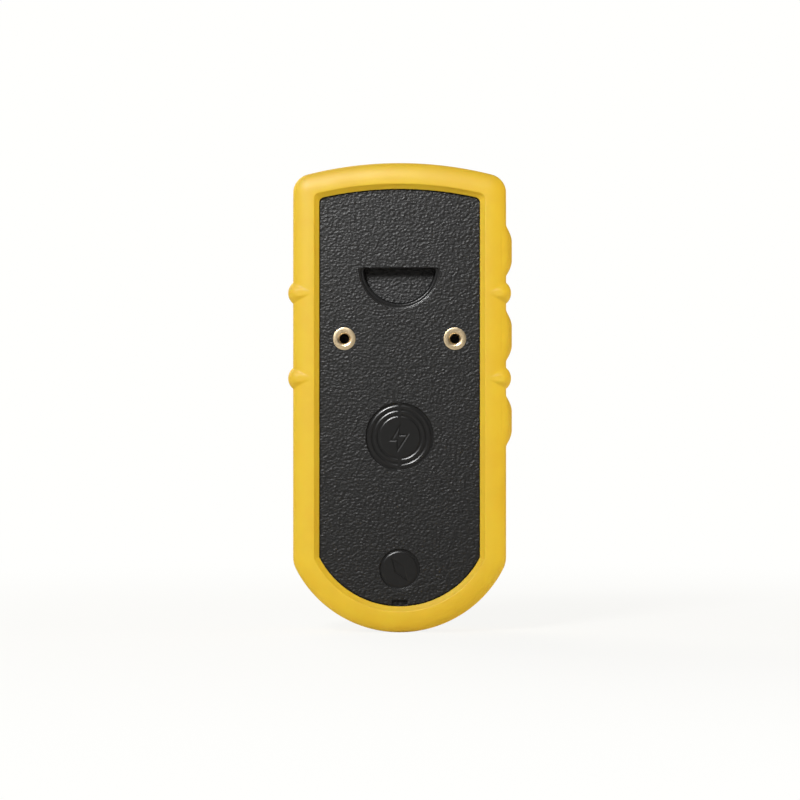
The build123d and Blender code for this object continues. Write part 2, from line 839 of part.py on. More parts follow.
with BuildPart() as usb_socket:
    with BuildSketch(Plane.YZ.offset(socket_mouth_x)):
        with Locations((-socket_h, socket_z)):
            RectangleRounded(socket_height, socket_width, socket_height / 2 - 0.05)
    extrude(amount=socket_length)
    with BuildSketch(Plane.YZ.offset(socket_mouth_x)):
        with Locations((-socket_h, socket_z)):
            RectangleRounded(
                socket_height - 2 * socket_wall,
                socket_width - 2 * socket_wall,
                socket_height / 2 - socket_wall - 0.05,
            )
    extrude(amount=socket_length - 1, mode=Mode.SUBTRACT)
    with BuildSketch(Plane.YZ.offset(socket_mouth_x + socket_length - 1)):
        with Locations((-socket_h, socket_z)):
            Rectangle(socket_tongue[2], socket_tongue[1])
    extrude(amount=-socket_tongue[0])
finish(usb_socket, "usb_socket")

# ------------------------------------------------------------ flexes
with BuildPart() as display_flex:
    flex_low = display_low + 2
    with BuildSketch(at(display_rear_h)):
        with Locations((0, flex_low)):
            Rectangle(
                display_flex_width, display_flex_run, align=(Align.CENTER, Align.MIN)
            )
    extrude(amount=flex_thickness)
    with BuildSketch(at(display_rear_h)):
        with Locations((0, flex_low)):
            Rectangle(
                display_flex_width, flex_thickness, align=(Align.CENTER, Align.MIN)
            )
    extrude(amount=board_gap)
finish(display_flex, "display_flex")

with BuildPart() as key_flex:
    flex_z = key_heights[1] - key_pitch / 2
    with BuildSketch(at(board_rear_h)):
        with Locations((board_x - flex_thickness / 2, flex_z)):
            Rectangle(flex_thickness, key_flex_width)
    extrude(amount=-board_rear_h)
finish(key_flex, "key_flex")

# ------------------------------------------------------------ port flap
flap_foot_x = casing_half + flap_foot_gap

with BuildPart() as port_flap:
    with BuildSketch(Plane.YZ.offset(-half_width)):
        with Locations((-socket_h, socket_z)):
            RectangleRounded(2 * flap_half_height, 2 * flap_half_length, flap_round)
    extrude(amount=half_width - flap_foot_x)
    chamfer(
        port_flap.faces().sort_by(Axis.X)[-1].edges().group_by(Axis.Y)[0], flap_edge_chamfer
    )
    with BuildSketch(Plane.YZ.offset(-flap_foot_x)):
        with Locations((-socket_h, socket_z)):
            RectangleRounded(
                2 * flap_tongue_half_height, 2 * flap_tongue_half_length,
                flap_tongue_half_height - 0.05,
            )
    extrude(amount=flap_tongue_depth + flap_foot_gap)
finish(port_flap, "port_flap")
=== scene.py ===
"""Looks of a handheld navigator in a silicone bumper sleeve, built round its solid model.

The file is laid out as an add-on: one operator for each piece or group of like pieces
and one for the stage. Every length is in metres. The back cover faces -Y, the screen
faces +Y, the side keys are on +X and +Z runs up the length.
"""

import json
import math

import bmesh
import bpy
from bpy.props import FloatProperty, FloatVectorProperty, PointerProperty
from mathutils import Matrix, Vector

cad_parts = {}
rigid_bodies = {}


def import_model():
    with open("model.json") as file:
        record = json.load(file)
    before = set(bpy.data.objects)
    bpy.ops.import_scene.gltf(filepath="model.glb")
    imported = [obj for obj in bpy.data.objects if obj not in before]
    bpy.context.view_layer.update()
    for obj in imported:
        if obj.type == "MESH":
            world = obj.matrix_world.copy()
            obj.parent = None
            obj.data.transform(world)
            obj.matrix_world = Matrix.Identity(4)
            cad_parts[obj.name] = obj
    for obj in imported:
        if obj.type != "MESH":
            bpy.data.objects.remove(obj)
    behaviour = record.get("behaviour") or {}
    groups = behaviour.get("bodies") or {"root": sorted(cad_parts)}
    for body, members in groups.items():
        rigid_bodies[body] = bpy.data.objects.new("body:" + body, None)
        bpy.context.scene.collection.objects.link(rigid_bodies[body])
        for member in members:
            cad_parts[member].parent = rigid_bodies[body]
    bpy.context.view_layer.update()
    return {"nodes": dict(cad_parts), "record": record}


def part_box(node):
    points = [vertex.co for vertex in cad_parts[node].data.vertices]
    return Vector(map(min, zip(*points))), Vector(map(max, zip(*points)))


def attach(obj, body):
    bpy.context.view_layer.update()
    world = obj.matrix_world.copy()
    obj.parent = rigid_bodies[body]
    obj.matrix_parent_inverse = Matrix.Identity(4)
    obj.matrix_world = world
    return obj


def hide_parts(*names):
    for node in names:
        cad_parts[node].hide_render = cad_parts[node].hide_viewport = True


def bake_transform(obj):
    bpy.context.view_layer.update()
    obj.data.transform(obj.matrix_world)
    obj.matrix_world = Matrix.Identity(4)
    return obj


bl_info = {
    "name": "Handheld Navigator Looks",
    "version": (1, 0, 0),
    "blender": (4, 5, 0),
    "location": "View3D > Sidebar > Navigator",
    "description": "Dresses the solid model of a handheld navigator in its bumper sleeve",
    "category": "Object",
}

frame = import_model()
NODES = frame["nodes"]
MM = 0.001

SLEEVE_LOW, SLEEVE_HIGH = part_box("sleeve")
CASING_LOW, CASING_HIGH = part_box("rear_housing")
COVER_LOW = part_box("back_cover")[0]
GLASS_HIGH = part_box("touch_glass")[1]
INSERTS_LOW, INSERTS_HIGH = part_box("clip_inserts")
FLAP_LOW, FLAP_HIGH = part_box("port_flap")
KEY_NAMES = ("upper", "middle", "lower")


def middle(node):
    """Centre of a node's box."""
    low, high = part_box(node)
    return (low + high) / 2


KEY_CENTRES = {name: middle(f"side_key_{name}") for name in KEY_NAMES}
NUB_LEVELS = [
    (KEY_CENTRES[a].z + KEY_CENTRES[b].z) / 2 for a, b in zip(KEY_NAMES, KEY_NAMES[1:])
]
INSERT_Z = (INSERTS_LOW.z + INSERTS_HIGH.z) / 2
MARK_CENTRE = middle("charging_coil")
MARK_REACH = 9.95 * MM
RING_LEVEL = 19.05 * MM
RING_REACH = 5.8 * MM
RECESS_LEVEL = 109.4 * MM
RECESS_LIP = (10.7 * MM, 12.1 * MM)
MASK_BLUR = 0.3 * MM

FLAP_ROOM = 0.35 * MM
PAD_WINDOW_HALF = 7.3 * MM
PAD_WINDOW_REACH = 4.6 * MM
PLUG_SIZE = (9.0 * MM, 14.4 * MM)
NUB_BAND = 4.0 * MM
STRAIGHT_SIDES = (24 * MM, 127.5 * MM)


def length(name, description, default, **more):
    """A length property in metres."""
    return FloatProperty(
        name=name, description=description, default=default, min=0.0,
        subtype="DISTANCE", unit="LENGTH", precision=5, **more,
    )


def colour(name, description, default):
    """A linear colour property."""
    return FloatVectorProperty(
        name=name, description=description, default=default, size=4,
        subtype="COLOR", min=0.0, max=1.0,
    )


# ---------------------------------------------------------------- sizes and colours


class SleeveSizes(bpy.types.PropertyGroup):
    """Shape of the silicone sleeve."""

    wall: length("Wall", "Thickness of the sleeve's sides", 2.2 * MM)
    height: length("Height", "Overall length of the sleeve", round(SLEEVE_HIGH.z, 4))
    half_width: length(
        "Half Width", "Half the width without the grip nubs", CASING_HIGH.x + 2.3 * MM
    )
    bottom_bulge: length(
        "Bottom Bulge", "How much the bottom arc's radius is over the half width", 3.0 * MM
    )
    top_radius: length("Top Radius", "Radius of the long arc at the top", 113.2 * MM)
    corner_radius: length("Corner Radius", "Radius of the top corners", 5.7 * MM)
    kink_radius: length("Kink Radius", "Blend between the bottom arc and the sides", 8.0 * MM)
    inner_corner: length("Inner Corner", "Smallest radius at the top corners", 1.65 * MM)
    inner_kink: length("Inner Kink", "Smallest radius at the bottom kinks", 0.5 * MM)
    rim: length("Rim", "Width of the bolster rim round the back cover", 7.9 * MM)
    crest: length("Crest", "From the outside to the rim's crest", 5.6 * MM)
    shoulder: length("Shoulder", "How far the crown comes down the side", 4.0 * MM)
    rim_slope: length("Rim Slope", "How far the rim's inner wall leans back", 1.3 * MM)
    rim_round: length("Rim Round", "Rounding between the inner wall and the crest", 0.4 * MM)
    rim_foot: length("Rim Foot", "Height of the straight foot of the inner wall", 0.5 * MM)
    rim_lift: length("Rim Lift", "Shadow gap between rim and cover", 0.12 * MM)
    front_lip: length("Front Lip", "Width of the lip round the screen", 3.4 * MM)
    front_round: length("Front Round", "Rounding of the front outer edge", 2.4 * MM)
    front_edge: length("Front Edge", "Rounding of the lip's inner edge", 0.5 * MM)
    step: length("Step", "Spacing of the mesh along the sides", 0.6 * MM)
    nub_step: length("Nub Step", "Spacing of the mesh over the nubs", 0.22 * MM)
    nub_half: length("Nub Half Height", "Half the height of a grip nub", 3.15 * MM)
    nub_reach: length("Nub Reach", "How far a nub points in over the rim", 5.2 * MM)
    nub_turn: FloatProperty(
        name="Nub Turn", description="Half the angle of a nub's round back", default=0.95,
        min=0.1, max=1.5, subtype="ANGLE", unit="ROTATION",
    )
    nub_proud: length("Nub Proud", "How far a grip nub stands out", 1.49 * MM)


class PadSizes(bpy.types.PropertyGroup):
    """Shape of the three key pads."""

    half_length: length("Half Length", "Half the length of a pad's apron", 7.8 * MM)
    top_half: length("Top Half Length", "Half the length of the flat top", 3.3 * MM)
    front: length("Front Reach", "How far the apron reaches towards the screen", 6.6 * MM)
    front_top: length("Front Top", "How far the flat top reaches towards the screen", 3.0 * MM)
    rear_top: length("Rear Top", "How far the flat top reaches towards the back", 2.6 * MM)
    crown_reach: length("Crown Reach", "How far the apron reaches over the rim", 1.35 * MM)
    proud: length("Proud", "How far the top stands out of the side", 1.88 * MM)
    dish: length("Dish", "How deep the finger dish is", 0.10 * MM)
    apron: length("Apron", "Height of the apron's edge over the side", 0.02 * MM)
    sheet: length("Sheet", "Thickness of the dome", 0.35 * MM)


class InsertSizes(bpy.types.PropertyGroup):
    """Shape of the threaded inserts."""

    flange: length("Flange Radius", "Radius of the visible ring", 3.4 * MM)
    barrel: length("Barrel Radius", "Radius of the part in the boss", 2.9 * MM)
    bore: length("Bore Radius", "Inner radius of the thread", 1.45 * MM)
    sink: length("Countersink Radius", "Outer radius of the countersink", 2.4 * MM)
    thread: length("Thread Depth", "Depth of the thread's grooves", 0.17 * MM)
    pitch: length("Thread Pitch", "Spacing of the thread's grooves", 0.6 * MM)
    edge: length("Edge", "Rounding of the ring's edges", 0.12 * MM)


class FinishColours(bpy.types.PropertyGroup):
    """Colours of the visible finishes."""

    silicone: colour("Silicone", "Warm yellow of the sleeve", (0.78, 0.53, 0.030, 1.0))
    silicone_deep: colour(
        "Silicone Deep", "Darker tone in the mottling", (0.76, 0.495, 0.026, 1.0)
    )
    cover: colour("Cover", "Black of the back cover", (0.0060, 0.0061, 0.0063, 1.0))
    # painted light and shade: the grain's tops take this lighter black and its creases the darker
    # cover black
    cover_lit_tops: colour("Cover High", "Tops of the grain painted lighter than its creases", (0.0115, 0.0117, 0.0120, 1.0))
    brass: colour("Brass", "Pale brass of the inserts", (0.64, 0.51, 0.33, 1.0))
    housing: colour("Housing", "Dark grey of the casing", (0.030, 0.030, 0.032, 1.0))


class StageSizes(bpy.types.PropertyGroup):
    """Camera, lights and floor."""

    lens: FloatProperty(
        name="Lens", description="Focal length in millimetres", default=150.0, min=1.0
    )
    frame_width: length("Frame Width", "What the camera takes in across", 0.2404)
    aim_z: length("Aim Height", "Height that the camera looks at", 0.0698)
    aim_x: FloatProperty(
        name="Aim Side", description="Sideways place that the camera looks at",
        default=0.00012, subtype="DISTANCE", unit="LENGTH",
    )
    floor_radius: length("Floor Radius", "Radius of the pale floor", 3.0)


# ---------------------------------------------------------------- mesh helpers


def new_piece(bm, name, body, finish_name, replaced=(), rides=True):
    """Make a mesh object of a finished bmesh, and give it its body, slot and finish."""
    bmesh.ops.recalc_face_normals(bm, faces=bm.faces)
    mesh = bpy.data.meshes.new(name)
    bm.to_mesh(mesh)
    bm.free()
    mesh.shade_smooth()
    mesh.set_sharp_from_angle(angle=math.radians(38))
    piece = bpy.data.objects.new(name, mesh)
    bpy.context.scene.collection.objects.link(piece)
    mesh.materials.append(bpy.data.materials[finish_name])
    if rides:
        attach(piece, body)
    if replaced:
        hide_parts(*replaced)
    return piece


def arc_points(centre, radius, start, end, steps):
    """Points along an arc in the XZ plane, without its start."""
    turns = [start + (end - start) * index / steps for index in range(1, steps + 1)]
    return [
        (centre[0] + radius * math.cos(turn), centre[1] + radius * math.sin(turn))
        for turn in turns
    ]


def outline_points(sizes, inset, stations):
    """The sleeve's outline moved inward by inset, as (x, z) points all the way round."""
    half = sizes.half_width - inset
    low_centre = sizes.half_width + sizes.bottom_bulge
    low = low_centre - inset
    high = sizes.top_radius - inset
    high_centre = sizes.height - sizes.top_radius
    kink = max(sizes.kink_radius - inset, sizes.inner_kink)
    corner = max(sizes.corner_radius - inset, sizes.inner_corner)
    kink_drop = math.sqrt((low - kink) ** 2 - (half - kink) ** 2)
    corner_rise = math.sqrt((high - corner) ** 2 - (half - corner) ** 2)
    kink_turn = math.atan2(kink_drop, half - kink)
    corner_turn = math.atan2(corner_rise, half - corner)
    up, down = math.pi / 2, -math.pi / 2
    points = arc_points((0, low_centre), low, down, -kink_turn, 26)
    points += arc_points((half - kink, low_centre - kink_drop), kink, -kink_turn, 0, 6)
    points += [(half, z) for z in stations]
    points += arc_points((half - corner, high_centre + corner_rise), corner, 0, corner_turn, 12)
    points += arc_points((0, high_centre), high, corner_turn, up, 18)[:-1]
    left = [(-x, z) for x, z in reversed(points)]
    return [(0, low_centre - low), *points, (0, high_centre + high), *left]


def sweep_section(bm, sizes, section, stations):
    """Extrude the outline ring from point to point of a closed section."""
    layer = bm.verts.layers.int.new("place")
    count = len(outline_points(sizes, 0, stations))
    verts = bmesh.ops.create_circle(bm, segments=count, radius=sizes.half_width)["verts"]
    for index, vert in enumerate(verts):
        vert[layer] = index
    ring = bm.edges[:]
    for step, (inset, level) in enumerate([*section, section[0]]):
        if step:
            made = bmesh.ops.extrude_edge_only(bm, edges=ring)["geom"]
            verts = [item for item in made if isinstance(item, bmesh.types.BMVert)]
            new = set(verts)
            ring = [
                item for item in made
                if isinstance(item, bmesh.types.BMEdge) and new.issuperset(item.verts)
            ]
        points = outline_points(sizes, inset, stations)
        for vert in verts:
            x, z = points[vert[layer]]
            vert.co = (x, level, z)
    bmesh.ops.remove_doubles(bm, verts=bm.verts, dist=1e-6)


def arc_steps(start, end, steps, level_first):
    """Quarter ellipse between two section points, without its start.

    level_first says that the curve leaves its start straight along the level.
    """
    points = []
    for index in range(1, steps + 1):
        turn = math.pi / 2 * index / steps
        slow, fast = 1 - math.cos(turn), math.sin(turn)
        across, along = (slow, fast) if level_first else (fast, slow)
        points.append(
            (
                start[0] + (end[0] - start[0]) * across,
                start[1] + (end[1] - start[1]) * along,
            )
        )
    return points


def sleeve_section(sizes):
    """Closed section of the sleeve as (inset, level) points, from the rim's foot outwards."""
    rear, front = SLEEVE_LOW.y, SLEEVE_HIGH.y
    seat, glass = COVER_LOW.y, GLASS_HIGH.y
    side_levels = [
        rear + sizes.shoulder + 1.3 * MM,
        -PAD_WINDOW_REACH,
        -2.8 * MM,
        FLAP_LOW.y - FLAP_ROOM,
        1.8 * MM,
        PAD_WINDOW_REACH,
        FLAP_HIGH.y + FLAP_ROOM,
        front - sizes.front_round,
    ]
    foot = (sizes.rim, seat - sizes.rim_lift)
    foot_top = (sizes.rim - 0.04 * MM, seat - sizes.rim_foot)
    wall_top = (sizes.rim - sizes.rim_slope, rear + sizes.rim_round)
    crest_in = (sizes.rim - sizes.rim_slope - sizes.rim_round, rear)
    crest_out = (sizes.crest, rear)
    outer = (0.0, rear + sizes.shoulder)
    section = [foot, foot_top]
    section += [
        tuple(a + (b - a) * share for a, b in zip(foot_top, wall_top))
        for share in (0.08, 0.5, 0.92)
    ]
    section += arc_steps(wall_top, crest_in, 5, True)
    section.append(crest_out)
    section += arc_steps(crest_out, outer, 14, False)
    section += [(0.0, level) for level in side_levels]
    section += arc_steps((0.0, front - sizes.front_round), (sizes.front_round, front), 8, True)
    section.append((sizes.front_lip - sizes.front_edge, front))
    section += arc_steps(
        (sizes.front_lip - sizes.front_edge, front),
        (sizes.front_lip, front - sizes.front_edge), 4, False,
    )
    section += [(sizes.front_lip, glass), (sizes.wall, glass)]
    section += [(sizes.wall, level) for level in reversed(side_levels[:-1])]
    section += [(sizes.wall, seat - sizes.rim_lift)]
    return section


def side_stations(sizes, breaks, low, high):
    """Heights of the mesh's rows along the straight sides, with a row at each break."""
    levels = [low, *sorted(breaks), high]
    stations = []
    for start, end in zip(levels, levels[1:]):
        step = sizes.step
        band = NUB_BAND + 0.1 * MM
        if any(start >= z - band and end <= z + band for z in NUB_LEVELS):
            step = sizes.nub_step
        steps = max(1, round((end - start) / step))
        stations += [start + (end - start) * index / steps for index in range(steps)]
    return [*stations, high]


def raise_nubs(bm, sizes):
    """Pull the grip nubs out of both sides as rounded cones that point in over the rim."""
    rear, front = SLEEVE_LOW.y, SLEEVE_HIGH.y
    turn = sizes.nub_turn
    for vert in bm.verts:
        inset = sizes.half_width - abs(vert.co.x)
        reach = sizes.nub_reach if vert.co.y < 0 else sizes.front_round + 0.2 * MM
        hidden = inset > 0.02 * MM and rear + sizes.shoulder < vert.co.y < (
            front - sizes.front_round
        )
        if inset >= reach or hidden:
            continue
        fade = 1 - max(0.0, inset) / reach
        for nub_z in NUB_LEVELS:
            across = abs(vert.co.z - nub_z) / (sizes.nub_half * fade)
            if across >= 1:
                continue
            swell = (math.cos(math.asin(across * math.sin(turn))) - math.cos(turn)) / (
                1 - math.cos(turn)
            )
            lift = sizes.nub_proud * fade**0.7 * swell
            room = vert.co.y - (rear if vert.co.y < 0 else front)
            lean = max(0.0, 1 - abs(room) / sizes.shoulder)
            vert.co.x += math.copysign(lift, vert.co.x)
            vert.co.y -= math.copysign(min(abs(room), lift * lean * 1.3), room)


def cut_window(bm, side, low_y, high_y, low_z, high_z, depth):
    """Open a rectangular window through one side wall, along rows that are already there."""
    slack = 0.02 * MM

    def within(face):
        centre = face.calc_center_median()
        return (
            centre.x * side > depth
            and low_y - slack < min(v.co.y for v in face.verts)
            and max(v.co.y for v in face.verts) < high_y + slack
            and low_z - slack < min(v.co.z for v in face.verts)
            and max(v.co.z for v in face.verts) < high_z + slack
        )

    faces = [face for face in bm.faces if within(face)]
    bmesh.ops.delete(bm, geom=faces, context="FACES")
    rims = [edge for edge in bm.edges if edge.is_boundary]
    bmesh.ops.bridge_loops(bm, edges=rims)


def add_block(bm, size, centre):
    """Add a box of that size about a centre and return its vertices."""
    verts = bmesh.ops.create_cube(bm, size=1.0)["verts"]
    bmesh.ops.scale(bm, vec=size, verts=verts)
    bmesh.ops.translate(bm, vec=centre, verts=verts)
    return verts


def round_edges(bm, edges, offset, segments):
    """Round edges to a radius."""
    bmesh.ops.bevel(
        bm, geom=list(edges), offset=offset, offset_type="OFFSET", segments=segments,
        profile=0.5, affect="EDGES", material=-1,
    )


def edges_of(verts):
    """Edges that touch any of the vertices."""
    return {edge for vert in verts for edge in vert.link_edges}


# ---------------------------------------------------------------- pieces


class NAVIGATOR_OT_sleeve(bpy.types.Operator):
    """Sweep the sleeve's section round its outline, raise the nubs and cut the windows"""

    bl_idname = "navigator.sleeve"
    bl_label = "Bumper Sleeve"

    def execute(self, context):
        sizes = context.scene.navigator_sleeve
        breaks = []
        for name in KEY_NAMES:
            z = KEY_CENTRES[name].z
            breaks += [z - PAD_WINDOW_HALF, z + PAD_WINDOW_HALF]
        flap_low, flap_high = FLAP_LOW.z - FLAP_ROOM, FLAP_HIGH.z + FLAP_ROOM
        breaks += [flap_low, flap_high]
        for z in NUB_LEVELS:
            breaks += [z - NUB_BAND, z + NUB_BAND]
        stations = side_stations(sizes, breaks, *STRAIGHT_SIDES)
        bm = bmesh.new()
        sweep_section(bm, sizes, sleeve_section(sizes), stations)
        raise_nubs(bm, sizes)
        inner = sizes.half_width - sizes.wall - 0.1 * MM
        for name in KEY_NAMES:
            z = KEY_CENTRES[name].z
            cut_window(
                bm, 1, -PAD_WINDOW_REACH, PAD_WINDOW_REACH,
                z - PAD_WINDOW_HALF, z + PAD_WINDOW_HALF, inner,
            )
        cut_window(
            bm, -1, FLAP_LOW.y - FLAP_ROOM, FLAP_HIGH.y + FLAP_ROOM, flap_low, flap_high, inner
        )
        new_piece(bm, "bumper_sleeve", "casing", "silicone", ("sleeve",))
        return {"FINISHED"}


class NAVIGATOR_OT_pads(bpy.types.Operator):
    """Form the three key pads, soft domes between the sleeve and the keys"""

    bl_idname = "navigator.pads"
    bl_label = "Key Pads"

    def execute(self, context):
        sizes = context.scene.navigator_pads
        sleeve = context.scene.navigator_sleeve
        for name in KEY_NAMES:
            self.make_pad(name, sizes, sleeve)
        return {"FINISHED"}

    def place(self, sizes, sleeve, along, share):
        """Point of a pad: along it in Z, and by share from its front round to the crown."""
        side_y = SLEEVE_LOW.y + sleeve.shoulder
        turn_end = math.acos(1 - sizes.crown_reach / sleeve.crest)
        straight = sizes.front - side_y
        crown = math.hypot(sizes.crown_reach, sleeve.shoulder * math.sin(turn_end))
        travel = share * (straight + crown)
        turn = turn_end * max(0.0, travel - straight) / crown
        y = sizes.front - min(travel, straight) - sleeve.shoulder * math.sin(turn)
        x = sleeve.half_width - sleeve.crest * (1 - math.cos(turn))
        normal = Vector(
            (sleeve.shoulder * math.cos(turn), -sleeve.crest * math.sin(turn), 0)
        ).normalized()
        front_ramp = (travel - 0.2 * MM) / (sizes.front - sizes.front_top)
        rear_ramp = (straight + crown - 0.1 * MM - travel) / (
            straight + crown - sizes.front - sizes.rear_top
        )
        end_ramp = (sizes.half_length - 0.2 * MM - abs(along)) / (
            sizes.half_length - sizes.top_half
        )
        swell = 1.0
        for ramp in (front_ramp, rear_ramp, end_ramp):
            ramp = min(1.0, max(0.0, ramp))
            swell *= 0.75 * ramp * (2 - ramp) + 0.25 * ramp
        dish = sizes.dish * max(0.0, 1 - (along / sizes.top_half) ** 2) * max(
            0.0, 1 - (y / sizes.rear_top) ** 2
        )
        rise = sizes.apron + (sizes.proud - sizes.apron) * swell - dish
        return Vector((x, y, 0)) + normal * rise

    def make_pad(self, name, sizes, sleeve):
        """One pad: a domed sheet over the side and crown, and a plug in the window."""
        centre = KEY_CENTRES[name]
        foot_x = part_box(f"sleeve_pad_{name}")[0].x
        bm = bmesh.new()
        bmesh.ops.create_grid(bm, x_segments=64, y_segments=52, size=1.0)
        for vert in bm.verts:
            along = vert.co.x * sizes.half_length
            vert.co = self.place(sizes, sleeve, along, (vert.co.y + 1) / 2)
            vert.co.z = centre.z + along
        bmesh.ops.recalc_face_normals(bm, faces=bm.faces)
        if sum(face.normal.x for face in bm.faces) < 0:
            bmesh.ops.reverse_faces(bm, faces=bm.faces)
        bmesh.ops.solidify(bm, geom=bm.faces[:], thickness=sizes.sheet)
        depth = sleeve.half_width - 0.1 * MM - foot_x
        plug = add_block(bm, (depth, *PLUG_SIZE), (foot_x + depth / 2, 0, centre.z))
        round_edges(bm, edges_of(plug), 0.25 * MM, 3)
        pad = new_piece(
            bm, f"key_pad_{name}", None, "silicone",
            (f"sleeve_pad_{name}",), rides=False,
        )
        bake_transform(pad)


class NAVIGATOR_OT_flap(bpy.types.Operator):
    """Form the socket's flap with its finger ribs, its tongue and a web along its front edge"""

    bl_idname = "navigator.flap"
    bl_label = "Socket Flap"

    def execute(self, context):
        side = -context.scene.navigator_sleeve.half_width
        low, high = FLAP_LOW, FLAP_HIGH
        centre = (low + high) / 2
        foot_x = CASING_LOW.x - 0.05 * MM
        bm = bmesh.new()
        size = (foot_x - side, high.y - low.y, high.z - low.z)
        add_block(bm, size, ((side + foot_x) / 2, centre.y, centre.z))
        corners = [e for e in bm.edges if abs(e.verts[0].co.x - e.verts[1].co.x) > MM]
        round_edges(bm, corners, 1.3 * MM, 6)
        rim = [
            e for e in bm.edges
            if all(v.co.x < side + 0.01 * MM for v in e.verts) and not e.is_boundary
        ]
        round_edges(bm, rim, 0.45 * MM, 4)
        far = [
            v for v in bm.verts
            if v.co.x > foot_x - 0.01 * MM and v.co.y < low.y + 0.01 * MM
        ]
        bmesh.ops.translate(bm, vec=(-0.5 * MM, 0, 0), verts=far)
        tongue_size = (0.6 * MM, 2.5 * MM, 7.1 * MM)
        add_block(bm, tongue_size, (high.x - tongue_size[0] / 2, centre.y, centre.z))
        for step in (-1, 0, 1):
            place = (side + 0.1 * MM, centre.y - 1.4 * MM + step * MM, centre.z)
            rib = add_block(bm, (0.7 * MM, 0.5 * MM, 7.0 * MM), place)
            round_edges(bm, edges_of(rib), 0.2 * MM, 3)
        new_piece(bm, "socket_flap", "flap", "silicone", ("port_flap",))
        self.make_web(side, centre)
        return {"FINISHED"}

    def make_web(self, side, centre):
        """Thin web along the flap's front edge."""
        hinge_y = FLAP_HIGH.y
        bm = bmesh.new()
        bmesh.ops.create_grid(bm, x_segments=20, y_segments=8, size=1.0)
        for vert in bm.verts:
            along, across = vert.co.y * 5.0 * MM, vert.co.x * 1.1 * MM
            crown = 0.12 * MM * (1 - vert.co.x**2)
            vert.co = (side - 0.03 * MM - crown, hinge_y + 0.15 * MM + across, centre.z + along)
        bmesh.ops.solidify(bm, geom=bm.faces[:], thickness=0.2 * MM)
        web = new_piece(bm, "flap_web", None, "silicone", rides=False)
        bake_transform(web)


class NAVIGATOR_OT_inserts(bpy.types.Operator):
    """Turn the two threaded inserts from one section"""

    bl_idname = "navigator.inserts"
    bl_label = "Threaded Inserts"

    def execute(self, context):
        sizes = context.scene.navigator_inserts
        face_y, foot_y = INSERTS_LOW.y, INSERTS_HIGH.y
        sink_y = face_y + sizes.sink - sizes.bore
        section = [
            (sizes.barrel, foot_y),
            (sizes.barrel, face_y + MM),
            (sizes.flange, face_y + MM),
            (sizes.flange, face_y + sizes.edge),
            (sizes.flange - sizes.edge * 0.3, face_y + sizes.edge * 0.3),
            (sizes.flange - sizes.edge, face_y),
            (sizes.sink, face_y),
        ]
        section += arc_steps((sizes.sink, face_y), (sizes.bore, sink_y), 8, False)
        turns = int((foot_y - sink_y) / sizes.pitch)
        for turn in range(turns):
            start = sink_y + turn * sizes.pitch
            section += [
                (sizes.bore, start + sizes.pitch * 0.2),
                (sizes.bore + sizes.thread, start + sizes.pitch * 0.55),
                (sizes.bore, start + sizes.pitch * 0.95),
            ]
        section.append((sizes.bore, foot_y))
        bm = bmesh.new()
        half = INSERTS_HIGH.x - sizes.flange
        for side in (-1, 1):
            centre = Vector((side * half, 0, INSERT_Z))
            verts = [bm.verts.new((centre.x + r, y, INSERT_Z)) for r, y in section]
            edges = [bm.edges.new(pair) for pair in zip(verts, [*verts[1:], verts[0]])]
            bmesh.ops.spin(
                bm, geom=verts + edges, cent=centre, axis=(0, 1, 0), angle=2 * math.pi,
                steps=64, use_merge=True, use_duplicate=False,
            )
        bmesh.ops.remove_doubles(bm, verts=bm.verts, dist=1e-7)
        new_piece(bm, "brass_inserts", "casing", "brass", ("clip_inserts",))
        return {"FINISHED"}


# ---------------------------------------------------------------- finishes


def add_node(tree, kind, inputs=None, **settings):
    """Add a node, set it up and connect or fill its inputs."""
    node = tree.nodes.new(kind)
    for key, value in settings.items():
        setattr(node, key, value)
    for key, value in (inputs or {}).items():
        socket = node.inputs[key]
        if isinstance(value, bpy.types.NodeSocket):
            tree.links.new(value, socket)
        else:
            socket.default_value = value
    return node


def math_node(tree, operation, *values):
    """Output of a math node."""
    return add_node(
        tree, "ShaderNodeMath", dict(enumerate(values)), operation=operation
    ).outputs[0]


def between(tree, value, low, high, to_low=0.0, to_high=1.0):
    """Smoothly map a value from one range to another."""
    return add_node(
        tree, "ShaderNodeMapRange",
        {"Value": value, "From Min": low, "From Max": high, "To Min": to_low, "To Max": to_high},
        interpolation_type="SMOOTHSTEP",
    ).outputs["Result"]


def new_group(name, inputs, outputs):
    """Start a shader node group with named float or vector sockets."""
    tree = bpy.data.node_groups.new(name, "ShaderNodeTree")
    for label, default in inputs:
        kind = "NodeSocketVector" if default is None else "NodeSocketFloat"
        socket = tree.interface.new_socket(label, in_out="INPUT", socket_type=kind)
        if default is not None:
            socket.default_value = default
    for label in outputs:
        tree.interface.new_socket(label, in_out="OUTPUT", socket_type="NodeSocketFloat")
    return tree, tree.nodes.new("NodeGroupInput").outputs, tree.nodes.new("NodeGroupOutput").inputs


def mottle_group():
    """Slow uneven patches, for colour and gloss that are never quite even."""
    tree, given, result = new_group(
        "mottle", [("Vector", None), ("Size", 0.01)], ["Patches", "Specks"]
    )
    scale = math_node(tree, "DIVIDE", 1.0, given["Size"])
    slow = add_node(
        tree, "ShaderNodeTexNoise",
        {"Vector": given["Vector"], "Scale": scale, "Detail": 3.0, "Roughness": 0.5},
    )
    fine_scale = math_node(tree, "MULTIPLY", scale, 14.0)
    fine = add_node(
        tree, "ShaderNodeTexNoise",
        {"Vector": given["Vector"], "Scale": fine_scale, "Detail": 2.0},
    )
    tree.links.new(between(tree, slow.outputs["Fac"], 0.35, 0.65), result["Patches"])
    tree.links.new(between(tree, fine.outputs["Fac"], 0.3, 0.7), result["Specks"])
    return tree


